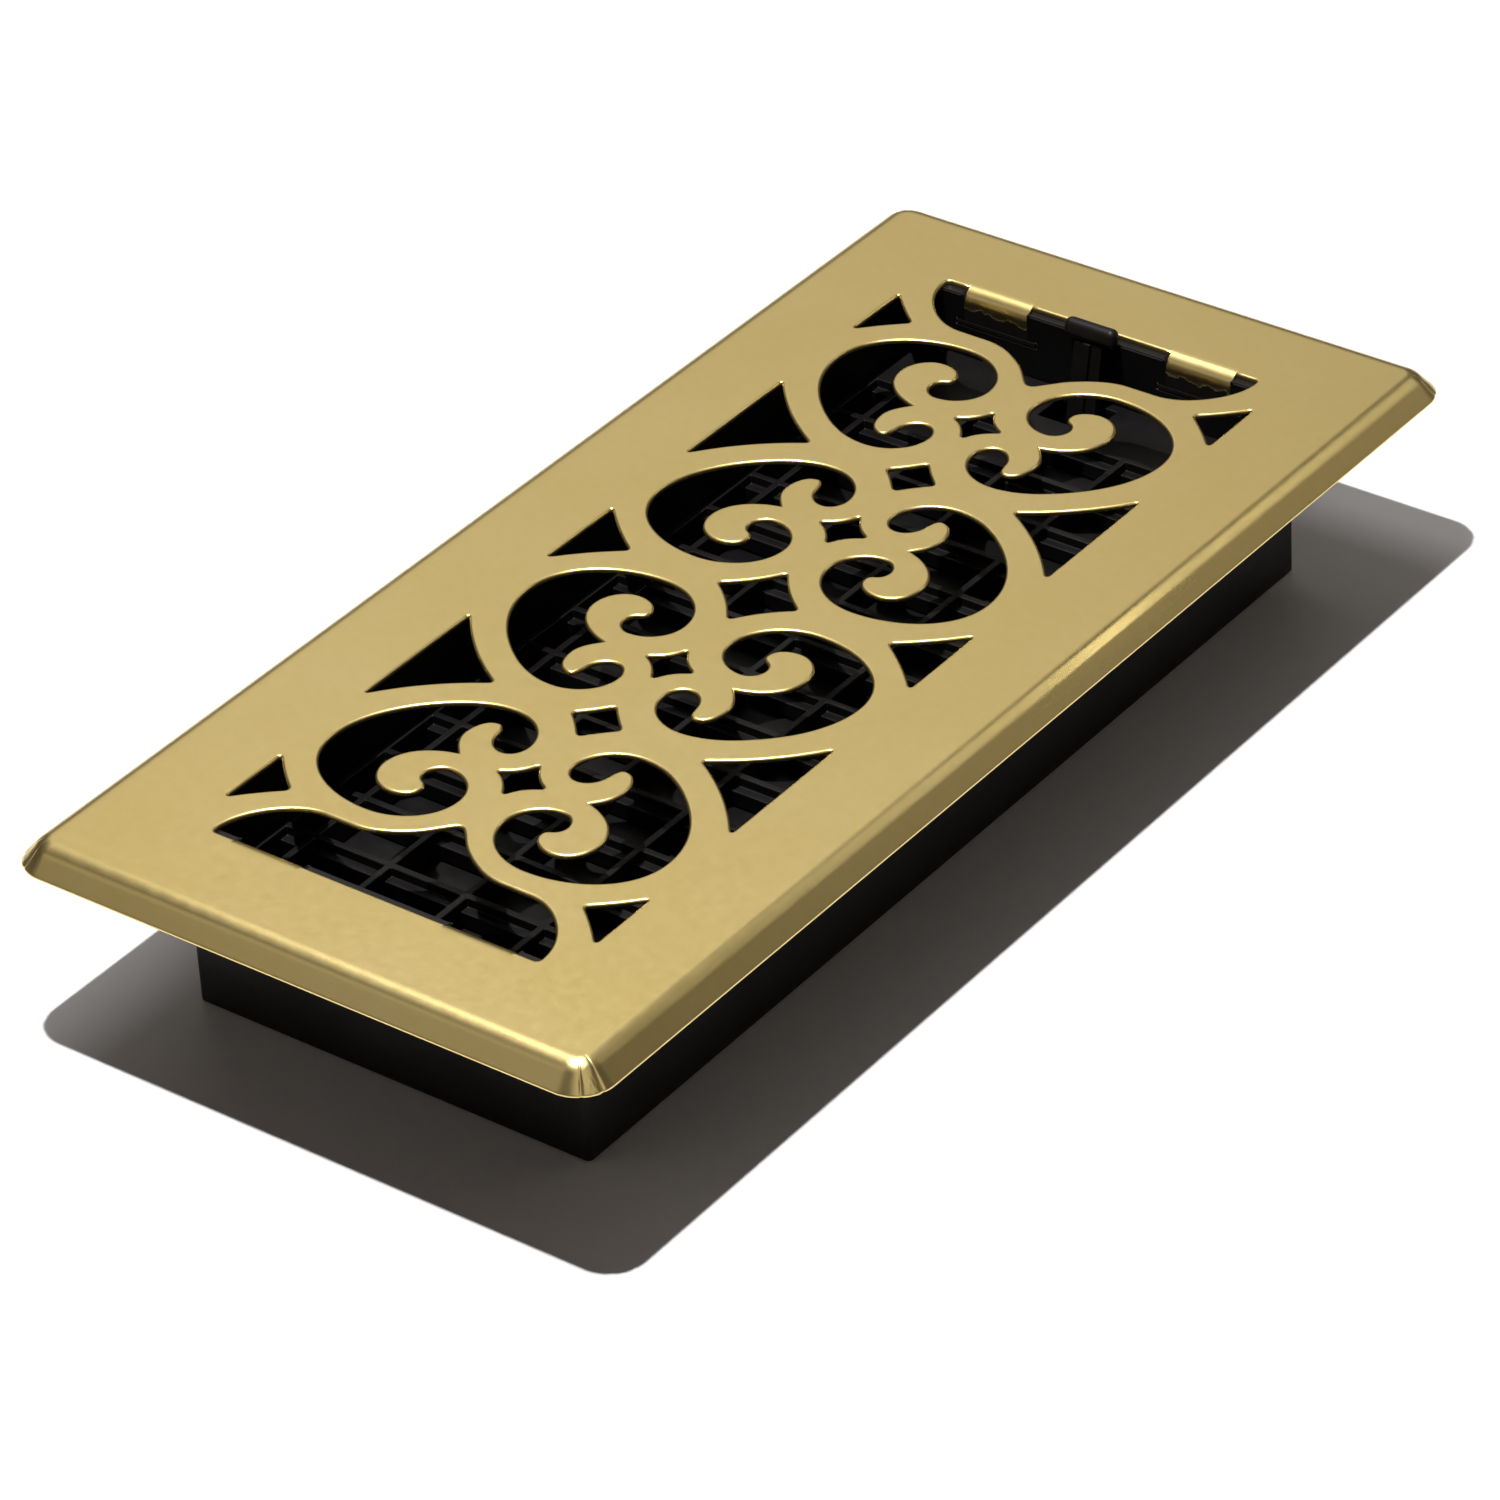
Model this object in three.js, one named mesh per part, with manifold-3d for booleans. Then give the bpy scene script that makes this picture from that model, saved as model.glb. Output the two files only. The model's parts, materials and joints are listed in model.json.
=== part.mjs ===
// A floor register: a pressed brass faceplate with scroll cut-outs on a black moulded damper box.
// A thumb lever at one end swings, draws a link bar along one side of the box, and so lets down a
// bank of louvre blades, each hinged under a wall of a fixed lattice. The louvres are shut here.
// Millimetres, +Z up, +Y towards the lever end, origin in the middle of the foot of the box.

import * as THREE from 'three';
import { mergeVertices } from 'three/addons/utils/BufferGeometryUtils.js';
import Module from 'manifold-3d';

const wasm = await Module();
wasm.setup();

// Damper box
const boxWidth = 95.25;
const boxLength = 241.3;
const boxWall = 2;
const boxCorner = 1.2;
const rimHeight = 38.1; // foot of the box to the rim of the faceplate
const fit = 0.3; // clearance between pieces that seat on each other

// Faceplate
const overhangX = 22.225; // faceplate beyond the box, each long side
const overhangY = 25.4; // and each end
const sheet = 1;
const pressDepth = 5; // rim to face
const pressAngle = THREE.MathUtils.degToRad(48);
const pressBend = 2.5; // outside radius where the slope meets the face
const rimCorner = 8;
const cornerSteps = 5;
const bendSteps = 3;

// Cut-outs. They are drawn at their own size, then fitted to the box that they feed.
const drawnHalfWidth = 44.5;
const drawnHalfLength = 120.8;
const cutInset = 3.125; // outside of the box to the outer edge of the side cut-outs
const curveSteps = 4;

// Tabs that hold the box to the faceplate, two at each end
const tabWidth = 16; // the part that shows in the end cut-out
const tabHook = 2; // how far its foot reaches past each side
const tabDrop = 8.4;
const tabBend = 1.4;
const tabProud = 0.15; // tab beyond the end of the box
const tabCentre = 25.5; // at the drawn size of the cut-outs
const tabSlack = 0.4;

// Fixed lattice under the faceplate
const gridDrop = 10.7; // rim to the top of the lattice
const gridDepth = 5.4;
const gridBar = 1.6;
const gridPitchX = 18.6;
const stepDrop = 2; // the cross walls thicken this far below their tops
const stepWidth = 2.1;
const gridPlate = 2; // closed ends of the lattice
const ledgeReach = 1.2;
const ledgeDepth = 1.5;

// Louvre blades, one to each bay between two cross walls
const bladeCount = 14;
const nearBay = 9.05; // inside of the near end wall to the first cross wall
const leverBay = 17.2; // last cross wall to the inside of the lever end wall
const bladeThickness = 1;
const bladeHub = 1.36;
const bladeTail = 1.1; // axis to the back of the blade
const bladeGap = 0.4;
const bladeSwing = THREE.MathUtils.degToRad(84);
const journalRadius = 1.1;
const journalDepth = 1.3;

// Link bar and cranks
const crankBay = 5.1; // from the side wall to the blade ends
const crankThickness = 1.6;
const pinRadius = 1;
const pinSlack = 0.4;
const linkThickness = 2.1;
const linkWeb = 2.2; // under the deepest notch
const leverPinHeight = 9.2; // lever pin at the middle of its swing
const leverPinCover = 1.8;
const linkEndWeb = 1.3; // each side of the lever's notch
const restHalf = 3; // half the length of a rest for the link bar

// Lever
const leverSwing = THREE.MathUtils.degToRad(34);
const leverFromWall = 6.65; // its axis to the inside of the end wall
const leverLean = THREE.MathUtils.degToRad(12.6);
const shaftRadius = 1.8;
const stemWidth = 7;
const stemThickness = 1.8;
const stemRib = 0.8;
const knobWidth = 12.7;
const knobThickness = 3.2;
const knobHeight = 4.3;
const knobRise = 3; // knob above the face

// Places that follow from the sizes above
const innerX = boxWidth / 2 - boxWall;
const innerY = boxLength / 2 - boxWall;
const faceHeight = rimHeight + pressDepth;
const boxTop = faceHeight - sheet - fit;
const cutHalfX = boxWidth / 2 - cutInset;
const cutHalfY = boxLength / 2 + tabProud;
const stretchX = cutHalfX / drawnHalfWidth;
const stretchY = cutHalfY / drawnHalfLength;
const gridTop = rimHeight - gridDrop;
const gridFoot = gridTop - gridDepth;
const wallPitch = (2 * innerY - nearBay - leverBay) / bladeCount;
const crossWalls = Array.from({ length: bladeCount + 1 }, (_, i) => -innerY + nearBay + i * wallPitch);
const bladeAxes = crossWalls.slice(1).map((y) => y - stepWidth / 2);
const bladeReach = wallPitch - bladeTail - bladeGap; // axis to the free edge
const axisHeight = gridFoot - bladeGap - bladeHub;
const bladeEnd = innerX - ledgeReach - bladeGap;
const crankEnd = -innerX + crankBay;
const linkInside = crankEnd - crankThickness - bladeGap;
const leverCrank = axisHeight - leverPinHeight;
const linkReach = leverCrank * Math.sin(leverSwing / 2); // half of the link bar's travel
const bladeCrank = linkReach / Math.sin(bladeSwing / 2);
const leverY = innerY - leverFromWall;
const socketRadius = journalRadius + 1.5 * fit;
const linkTop = axisHeight - socketRadius;
const linkFoot = axisHeight - bladeCrank - pinRadius - pinSlack - linkWeb;

const brass = new THREE.MeshStandardMaterial({ color: 0xc8a75c, roughness: 0.36, metalness: 1 });
const blackPlastic = new THREE.MeshStandardMaterial({ color: 0x161514, roughness: 0.48, metalness: 0 });

// Solids

function solidOf(geometry) {
  const bare = geometry.clone();
  bare.deleteAttribute('normal');
  bare.deleteAttribute('uv');
  const merged = mergeVertices(bare, 1e-4);
  return new wasm.Manifold(new wasm.Mesh({
    numProp: 3,
    vertProperties: new Float32Array(merged.attributes.position.array),
    triVerts: new Uint32Array(merged.index.array),
  }));
}

function geometryOf(solid) {
  const mesh = solid.getMesh();
  const geometry = new THREE.BufferGeometry();
  geometry.setAttribute('position', new THREE.BufferAttribute(mesh.vertProperties, 3));
  geometry.setIndex(new THREE.BufferAttribute(mesh.triVerts, 1));
  geometry.computeVertexNormals();
  return geometry;
}

function block(x0, x1, y0, y1, z0, z1) {
  const geometry = new THREE.BoxGeometry(x1 - x0, y1 - y0, z1 - z0);
  geometry.translate((x0 + x1) / 2, (y0 + y1) / 2, (z0 + z1) / 2);
  return solidOf(geometry);
}

function rod(radius, x0, x1, y, z, sides) {
  const geometry = new THREE.CylinderGeometry(radius, radius, x1 - x0, sides);
  geometry.rotateZ(-Math.PI / 2);
  geometry.translate((x0 + x1) / 2, y, z);
  return solidOf(geometry);
}

// An outline in plan, raised from z0 to z1.
function prism(shape, z0, z1) {
  const geometry = new THREE.ExtrudeGeometry(shape, {
    depth: z1 - z0,
    bevelEnabled: false,
    curveSegments: curveSteps,
  });
  geometry.translate(0, 0, z0);
  return geometry;
}

// An outline drawn as (y, z), carried across from x0 to x1.
function section(shape, x0, x1) {
  const geometry = prism(shape, 0, x1 - x0);
  const across = new THREE.Matrix4().makeBasis(
    new THREE.Vector3(0, 1, 0),
    new THREE.Vector3(0, 0, 1),
    new THREE.Vector3(1, 0, 0),
  );
  geometry.applyMatrix4(across);
  geometry.translate(x0, 0, 0);
  return geometry;
}

function polygon(points) {
  return new THREE.Shape(points.map(([x, y]) => new THREE.Vector2(x, y)));
}

function roundedRectangle(halfX, halfY, radius) {
  const points = [];
  for (const [corner, signX, signY] of [[0, 1, 1], [1, -1, 1], [2, -1, -1], [3, 1, -1]]) {
    for (let step = 0; step <= cornerSteps; step += 1) {
      const turn = (corner + step / cornerSteps) * Math.PI / 2;
      points.push([
        signX * (halfX - radius) + radius * Math.cos(turn),
        signY * (halfY - radius) + radius * Math.sin(turn),
      ]);
    }
  }
  return points;
}

// A solid through a stack of convex rings that all have the same number of points.
function loft(rings) {
  const count = rings[0].points.length;
  const positions = rings.flatMap(({ points, z }) => points.flatMap(([x, y]) => [x, y, z]));
  const faces = [];
  for (let level = 0; level < rings.length - 1; level += 1) {
    for (let i = 0; i < count; i += 1) {
      const a = level * count + i;
      const b = level * count + (i + 1) % count;
      faces.push(a, b, b + count, a, b + count, a + count);
    }
  }
  const top = (rings.length - 1) * count;
  for (let i = 1; i < count - 1; i += 1) {
    faces.push(0, i + 1, i, top, top + i, top + i + 1);
  }
  const geometry = new THREE.BufferGeometry();
  geometry.setAttribute('position', new THREE.Float32BufferAttribute(positions, 3));
  geometry.setIndex(faces);
  return solidOf(geometry);
}

// Cut-out outlines

// A smooth line through knots of [x, y, heading], in degrees; a corner gives the heading that it
// arrives on and the one that it leaves on.
function sweep(knots, place) {
  const shape = new THREE.Shape();
  const start = place(knots[0][0], knots[0][1]);
  shape.moveTo(start.x, start.y);
  for (let i = 0; i < knots.length; i += 1) {
    const from = knots[i];
    const to = knots[(i + 1) % knots.length];
    const leaving = THREE.MathUtils.degToRad(from[3] ?? from[2]);
    const arriving = THREE.MathUtils.degToRad(to[2]);
    const turn = Math.abs(Math.atan2(Math.sin(arriving - leaving), Math.cos(arriving - leaving)));
    const chord = Math.hypot(to[0] - from[0], to[1] - from[1]);
    const reach = turn < 0.02 ? chord / 3 : chord * 2 / 3 * Math.tan(turn / 4) / Math.sin(turn / 2);
    const pullOut = place(from[0] + reach * Math.cos(leaving), from[1] + reach * Math.sin(leaving));
    const pullIn = place(to[0] - reach * Math.cos(arriving), to[1] - reach * Math.sin(arriving));
    const end = place(to[0], to[1]);
    shape.bezierCurveTo(pullOut.x, pullOut.y, pullIn.x, pullIn.y, end.x, end.y);
  }
  return shape;
}

// A many-sided outline with its sides bowed in and its corners rounded off.
function bowed(corners, bows, cut, place) {
  const count = corners.length;
  const sides = corners.map((from, i) => {
    const to = corners[(i + 1) % count];
    const length = Math.hypot(to[0] - from[0], to[1] - from[1]);
    const along = [(to[0] - from[0]) / length, (to[1] - from[1]) / length];
    const inward = [-along[1], along[0]];
    const spread = 4 * bows[i] / length;
    const ease = (t) => [
      from[0] + along[0] * t * length + inward[0] * spread * length * t * (1 - t),
      from[1] + along[1] * t * length + inward[1] * spread * length * t * (1 - t),
    ];
    const slope = (t) => [
      along[0] + inward[0] * spread * (1 - 2 * t),
      along[1] + inward[1] * spread * (1 - 2 * t),
    ];
    return { ease, slope, trim: cut / length };
  });
  const crossing = (p, u, q, v) => {
    const scale = ((q[0] - p[0]) * v[1] - (q[1] - p[1]) * v[0]) / (u[0] * v[1] - u[1] * v[0]);
    return [p[0] + u[0] * scale, p[1] + u[1] * scale];
  };
  const shape = new THREE.Shape();
  const first = place(...sides[0].ease(sides[0].trim));
  shape.moveTo(first.x, first.y);
  sides.forEach((side, i) => {
    const next = sides[(i + 1) % count];
    const near = side.ease(side.trim);
    const far = side.ease(1 - side.trim);
    const turned = next.ease(next.trim);
    if (bows[i] === 0) {
      const end = place(...far);
      shape.lineTo(end.x, end.y);
    } else {
      const middle = place(...crossing(near, side.slope(side.trim), far, side.slope(1 - side.trim)));
      const end = place(...far);
      shape.quadraticCurveTo(middle.x, middle.y, end.x, end.y);
    }
    const tip = place(...crossing(far, side.slope(1 - side.trim), turned, next.slope(next.trim)));
    const end = place(...turned);
    shape.quadraticCurveTo(tip.x, tip.y, end.x, end.y);
  });
  return shape;
}

// One scroll, from the middle line of the plate and the line half-way between two rows.
const scrollKnots = [
  [5.85, 35.6, 90],
  [19.2, 46.95, 0],
  [40.25, 30.6, -90],
  [31.3, 12.9, -138],
  [15.6, 5.55, 180],
  [5.7, 14.2, 90],
  [9.1, 18.15, 0],
  [13.4, 14.2, -80],
  [15.5, 10.65, 5],
  [19.35, 16.6, 90],
  [15.9, 22.9, 135, 12],
  [26.15, 33, 90],
  [19.6, 39.95, 180],
  [14.25, 35.9, -90],
  [15.6, 34.1, -22],
  [17.2, 31.6, -90],
  [13.7, 28.1, 180],
];

// Right half of the bell-shaped end cut-out, from its straight edge down to its point.
const bellKnots = [
  [38.2, 120.8, 0],
  [39.1, 119.9, -90],
  [34.4, 109.6, -135],
  [24.5, 104.9, 180],
  [17.8, 104.85, 180],
  [6.35, 100.15, -143],
  [1.1, 94.8, -136],
];

const rowLine = 52.25; // middle of the plate to the line half-way between two rows of scrolls
const diamonds = [
  { y: 0, half: 9.9, bow: 0.75 },
  { y: rowLine, half: 6.1, bow: 0.25 },
  { y: rowLine - 23.4, half: 6.1, bow: 0.95 },
  { y: rowLine + 23.6, half: 6.1, bow: 0.95 },
];
const triangles = [
  { y: 0, tip: 31.7, half: 10.9, bow: 0.5 },
  { y: rowLine, tip: 25.2, half: 16.6, bow: 1.3 },
  { y: rowLine + 50, tip: 35.3, half: 8.4, bow: 0.3 },
];
const diamondCut = 1.3;
const triangleCut = 1.4;

function cutOuts() {
  const placed = (flipX, flipY, y) => (u, v) => (
    new THREE.Vector2(flipX * u * stretchX, flipY * (y + v) * stretchY)
  );
  const shapes = [];
  for (const flipY of [1, -1]) {
    for (const flipX of [1, -1]) {
      for (const mirror of [1, -1]) {
        const knots = scrollKnots.map(([x, y, ...heading]) => (
          [x, mirror * y, ...heading.map((angle) => mirror * angle)]
        ));
        shapes.push(sweep(knots, placed(flipX, flipY, rowLine)));
      }
      for (const { y, tip, half, bow } of triangles) {
        if (y > 0 || flipY > 0) {
          const corners = [[tip, 0], [drawnHalfWidth, -half], [drawnHalfWidth, half]];
          shapes.push(bowed(corners, [bow, 0, bow], triangleCut, placed(flipX, flipY, y)));
        }
      }
    }
    for (const { y, half, bow } of diamonds) {
      if (y > 0 || flipY > 0) {
        const corners = [[half, 0], [0, half], [-half, 0], [0, -half]];
        shapes.push(bowed(corners, [bow, bow, bow, bow], diamondCut, placed(1, flipY, y)));
      }
    }
    const leftHalf = bellKnots.map(([x, y, heading]) => [-x, y, -heading]).reverse();
    const bell = [...bellKnots, ...leftHalf];
    shapes.push(sweep(bell, placed(1, flipY, 0)));
  }
  return shapes;
}

// Pieces

// Rings of the pressed tray, with its surface moved in by the given depth.
function trayRings(depth) {
  const run = (pressDepth - pressBend * (1 - Math.cos(pressAngle))) / Math.tan(pressAngle)
    + pressBend * Math.sin(pressAngle);
  const bend = pressBend - depth;
  const levels = [];
  for (let step = 0; step <= bendSteps; step += 1) {
    const turn = pressAngle * (1 - step / bendSteps);
    levels.push({
      inset: run - bend * Math.sin(turn),
      z: faceHeight - pressBend + bend * Math.cos(turn),
    });
  }
  const foot = depth > 0 ? rimHeight - sheet : rimHeight;
  levels.unshift({ inset: levels[0].inset - (levels[0].z - foot) / Math.tan(pressAngle), z: foot });
  return levels.map(({ inset, z }) => ({
    points: roundedRectangle(
      boxWidth / 2 + overhangX - inset,
      boxLength / 2 + overhangY - inset,
      Math.max(rimCorner - inset, pressBend / 8),
    ),
    z,
  }));
}

// Section of a tab at the lever end: over the bend, down through the notch, and in under the ears.
function tabSection() {
  const outside = cutHalfY;
  const inside = outside - sheet;
  const centreY = inside + tabBend;
  const centreZ = faceHeight - tabBend;
  const foot = faceHeight - tabDrop;
  const shape = new THREE.Shape();
  shape.moveTo(centreY, faceHeight);
  shape.absarc(centreY, centreZ, tabBend, Math.PI / 2, Math.PI, false);
  shape.lineTo(inside, foot + sheet);
  shape.lineTo(innerY + 0.05, foot + sheet);
  shape.lineTo(innerY + 0.05, foot);
  shape.lineTo(outside, foot);
  shape.lineTo(outside, centreZ);
  shape.absarc(centreY, centreZ, tabBend - sheet, Math.PI, Math.PI / 2, true);
  shape.closePath();
  return shape;
}

function faceplateGeometry() {
  let plate = loft(trayRings(0)).subtract(loft(trayRings(sheet)));
  for (const shape of cutOuts()) {
    plate = plate.subtract(solidOf(prism(shape, rimHeight, faceHeight + sheet)));
  }
  const whole = solidOf(section(tabSection(), -tabWidth / 2 - tabHook, tabWidth / 2 + tabHook));
  const shoulder = faceHeight - tabDrop + sheet + tabBend;
  let tab = whole;
  for (const side of [-1, 1]) {
    const inner = side * tabWidth / 2;
    const outer = side * (tabWidth / 2 + tabHook + 1);
    tab = tab.subtract(block(Math.min(inner, outer), Math.max(inner, outer),
      innerY - 1, cutHalfY + tabBend, shoulder, faceHeight + 1));
  }
  for (const side of [-1, 1]) {
    const moved = tab.translate([side * tabCentre * stretchX, 0, 0]);
    plate = plate.add(moved).add(moved.rotate([0, 0, 180]));
  }
  return geometryOf(plate);
}

// Notch in an end wall for one tab, with an ear left on each side over the foot of the tab.
function tabNotch(side) {
  const centre = side * tabCentre * stretchX;
  const wide = tabWidth / 2 + tabHook + tabSlack;
  const narrow = tabWidth / 2 + tabSlack;
  const earFace = cutHalfY - sheet - fit;
  const foot = faceHeight - tabDrop - fit;
  const above = boxTop + 1;
  const outer = block(centre - wide, centre + wide, earFace, cutHalfY + 1, foot, above);
  const inner = block(centre - narrow, centre + narrow, innerY - 1, earFace + 0.1, foot, above);
  const toe = block(centre - wide, centre + wide, innerY - 1, earFace + 0.1, foot,
    foot + sheet + 2 * fit);
  return outer.add(inner).add(toe);
}

function damperBoxGeometry() {
  const outline = polygon(roundedRectangle(boxWidth / 2, boxLength / 2, boxCorner));
  const bore = polygon([[-innerX, -innerY], [innerX, -innerY], [innerX, innerY], [-innerX, innerY]]);
  outline.holes.push(bore);
  let box = solidOf(prism(outline, 0, boxTop));
  const ledgeTop = gridFoot - fit;
  for (const side of [-1, 1]) {
    const across = (x0, x1) => [side * x0, side * x1].sort((p, q) => p - q);
    // Ledges for the lattice, in every second bay
    for (let i = 1; i < bladeCount; i += 2) {
      box = box.add(block(...across(innerX - ledgeReach, innerX + boxWall / 2),
        bladeAxes[i - 1] + 2 * socketRadius, bladeAxes[i] - 2 * socketRadius,
        ledgeTop - ledgeDepth, ledgeTop));
    }
    box = box.subtract(tabNotch(side)).subtract(tabNotch(side).rotate([0, 0, 180]));
    for (const y of [...bladeAxes, leverY]) {
      const ends = across(innerX - 0.1, innerX + journalDepth);
      box = box.subtract(rod(socketRadius, ...ends, y, axisHeight, 8));
    }
  }
  // Rests that carry the link bar
  const restTop = linkFoot - fit;
  for (let i = 1; i < bladeCount; i += 4) {
    const y = (bladeAxes[i] + bladeAxes[i - 1]) / 2;
    box = box.add(block(-innerX - boxWall / 2, linkInside, y - restHalf, y + restHalf,
      restTop - ledgeDepth, restTop));
  }
  return geometryOf(box);
}

function latticeGeometry() {
  const halfX = innerX - fit;
  const halfY = innerY - fit;
  const cut = (x0, x1, y0, y1, z0 = gridFoot - 1, z1 = gridTop + 1) => block(x0, x1, y0, y1, z0, z1);
  const half = gridBar / 2;
  // Closed ends, with a slot for the lever in one of them
  const plateFoot = gridTop - gridPlate;
  const slotHalf = knobWidth / 2 + tabSlack;
  const rise = gridTop - axisHeight;
  const slack = stemThickness / 2 + stemRib + 2 * tabSlack;
  let lattice = block(-halfX, halfX, -halfY, halfY, gridFoot, gridTop)
    .subtract(cut(-halfX - 1, halfX + 1, crossWalls.at(-1) + half, halfY + 1, gridFoot - 1, plateFoot))
    .subtract(cut(-halfX + gridBar, halfX - gridBar, -halfY + gridBar,
      crossWalls[0] - half - stepWidth, gridFoot - 1, plateFoot))
    .subtract(cut(-slotHalf, slotHalf, leverY - rise * Math.tan(leverSwing - leverLean) - slack,
      leverY + rise * Math.tan(leverLean) + slack));
  const barsX = [-2, -1, 0, 1, 2].map((i) => i * gridPitchX * stretchX);
  const linesX = [-halfX + half, ...barsX, halfX - half];
  for (let i = 1; i < linesX.length; i += 1) {
    for (let j = 1; j < crossWalls.length; j += 1) {
      const x0 = linesX[i - 1] + half;
      const x1 = linesX[i] - half;
      const y0 = crossWalls[j - 1] + half;
      const y1 = crossWalls[j] - half;
      lattice = lattice
        .subtract(cut(x0, x1, y0, y1 - stepWidth))
        .subtract(cut(x0, x1, y1 - stepWidth - half, y1, gridTop - stepDrop));
    }
  }
  return geometryOf(lattice);
}

// Blade section, shut: a plate flush with the top of a stout hub, reaching to its free edge at -Y.
function bladeSection() {
  const under = bladeHub - bladeThickness;
  return polygon([
    [-bladeReach, bladeHub], [-bladeReach, under + bladeThickness / 4], [-bladeReach + 1, under],
    [-2 * bladeTail, under], [-bladeTail, -bladeTail], [bladeTail, -bladeTail],
    [bladeTail, bladeHub],
  ]);
}

// A crank that hangs from an axis along X: its arm, and a pin that points to the side wall.
function crank(length, angle, hub) {
  const arm = polygon([[-hub, hub * 0.6], [-pinRadius * 1.4, -length - pinRadius * 1.2],
    [pinRadius * 1.4, -length - pinRadius * 1.2], [hub, hub * 0.6]]);
  const solid = solidOf(section(arm, crankEnd - crankThickness, crankEnd + 0.5))
    .add(rod(pinRadius, linkInside - linkThickness, crankEnd, 0, -length, 8));
  return solid.rotate([THREE.MathUtils.radToDeg(angle), 0, 0]);
}

function bladeGeometry() {
  const blade = solidOf(section(bladeSection(), crankEnd, bladeEnd))
    .add(rod(journalRadius, -innerX - journalDepth + fit, innerX + journalDepth - fit, 0, 0, 8))
    .add(crank(bladeCrank, -bladeSwing / 2, bladeTail));
  return geometryOf(blade);
}

function leverGeometry() {
  const knobTop = (faceHeight + knobRise - axisHeight) / Math.cos(leverLean);
  const knobFoot = knobTop - knobHeight;
  const knobOutline = new THREE.Shape();
  const half = knobThickness / 2;
  knobOutline.moveTo(half, knobFoot);
  knobOutline.lineTo(half, knobTop - half / 2);
  knobOutline.quadraticCurveTo(half, knobTop, half / 2, knobTop);
  knobOutline.lineTo(-half / 2, knobTop);
  knobOutline.quadraticCurveTo(-half, knobTop, -half, knobTop - half / 2);
  knobOutline.lineTo(-half, knobFoot);
  const lever = rod(shaftRadius, crankEnd, bladeEnd, 0, 0, 10)
    .add(rod(journalRadius, -innerX - journalDepth + fit, innerX + journalDepth - fit, 0, 0, 8))
    .add(block(-stemWidth / 2, stemWidth / 2, -stemThickness / 2, stemThickness / 2, 0, knobFoot + 1))
    .add(block(-stemThickness / 2, stemThickness / 2, -stemThickness / 2 - stemRib, 0, 0, knobFoot + 0.5))
    .add(solidOf(section(knobOutline, -knobWidth / 2, knobWidth / 2)))
    .add(crank(leverCrank, leverLean - leverSwing / 2, shaftRadius));
  return geometryOf(lever);
}

// The link bar: a strip with a notch for each blade's pin, and a foot with a notch for the lever's.
function linkBarGeometry() {
  const half = pinRadius + pinSlack;
  const bladePinFoot = linkFoot + linkWeb;
  const leverPinTop = axisHeight - leverCrank * Math.cos(leverSwing / 2) + half;
  const leverFoot = leverPinHeight - leverPinCover;
  const footHalf = half + linkEndWeb;
  const pinY = leverY - linkReach;
  const start = bladeAxes[0] - linkReach - 3 * half;
  const points = [
    [start, linkFoot], [pinY - footHalf - linkWeb, linkFoot],
    [pinY - footHalf, leverFoot], [pinY - half, leverFoot],
    [pinY - half, leverPinTop], [pinY + half, leverPinTop],
    [pinY + half, leverFoot], [pinY + footHalf, leverFoot], [pinY + footHalf, linkTop],
  ];
  for (const axis of [...bladeAxes].reverse()) {
    const y = axis - linkReach;
    points.push([y + half, linkTop], [y + half, bladePinFoot]);
    points.push([y - half, bladePinFoot], [y - half, linkTop]);
  }
  points.push([start, linkTop]);
  return section(polygon(points), linkInside - linkThickness, linkInside);
}

// Assembly

const register = new THREE.Group();

function piece(name, geometry, material, y = 0, z = 0, tilt = 0) {
  const mesh = new THREE.Mesh(geometry, material);
  mesh.name = name;
  mesh.position.set(0, y, z);
  mesh.rotation.x = tilt;
  register.add(mesh);
}

piece('faceplate', faceplateGeometry(), brass);
piece('damper_box', damperBoxGeometry(), blackPlastic);
piece('support_lattice', latticeGeometry(), blackPlastic);
piece('thumb_lever', leverGeometry(), blackPlastic, leverY, axisHeight, -leverLean);
piece('link_bar', linkBarGeometry(), blackPlastic);
const bladeShape = bladeGeometry();
bladeAxes.forEach((y, i) => {
  piece(`louvre_blade_${i + 1}`, bladeShape, blackPlastic, y, axisHeight);
});

export default register;
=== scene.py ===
import json
import math

import bmesh
import bpy
from mathutils import Matrix, Quaternion, Vector, geometry, noise


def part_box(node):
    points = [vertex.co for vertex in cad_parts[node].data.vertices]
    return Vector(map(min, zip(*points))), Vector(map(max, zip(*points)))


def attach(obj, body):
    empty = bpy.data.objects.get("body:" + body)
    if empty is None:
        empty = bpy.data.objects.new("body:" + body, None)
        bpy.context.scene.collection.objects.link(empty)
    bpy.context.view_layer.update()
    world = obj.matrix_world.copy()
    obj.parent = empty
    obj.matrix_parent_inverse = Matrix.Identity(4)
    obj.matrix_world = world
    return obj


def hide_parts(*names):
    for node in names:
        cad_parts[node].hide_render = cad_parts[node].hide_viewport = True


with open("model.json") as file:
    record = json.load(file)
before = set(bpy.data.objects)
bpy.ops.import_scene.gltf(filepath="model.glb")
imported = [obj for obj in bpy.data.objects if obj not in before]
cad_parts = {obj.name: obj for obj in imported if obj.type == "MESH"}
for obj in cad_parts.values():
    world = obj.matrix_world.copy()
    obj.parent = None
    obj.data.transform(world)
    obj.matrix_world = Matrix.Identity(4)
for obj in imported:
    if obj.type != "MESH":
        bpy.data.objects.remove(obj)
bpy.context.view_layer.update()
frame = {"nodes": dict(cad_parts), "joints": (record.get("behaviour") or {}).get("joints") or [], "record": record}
mm = 0.001

# Places that every piece is set out from, in millimetres
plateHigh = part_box("faceplate")[1] / mm
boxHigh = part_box("damper_box")[1] / mm
mounts = {mount["name"]: Vector(mount["pos_m"]) / mm for mount in frame["record"]["mounts"]}
joints = {joint["name"]: joint for joint in frame["joints"]}
rimZ = mounts["rim_seat"].z
faceZ = plateHigh.z
hair = 0.01  # less than any step in a section
tolerance = 1e-5


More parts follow.
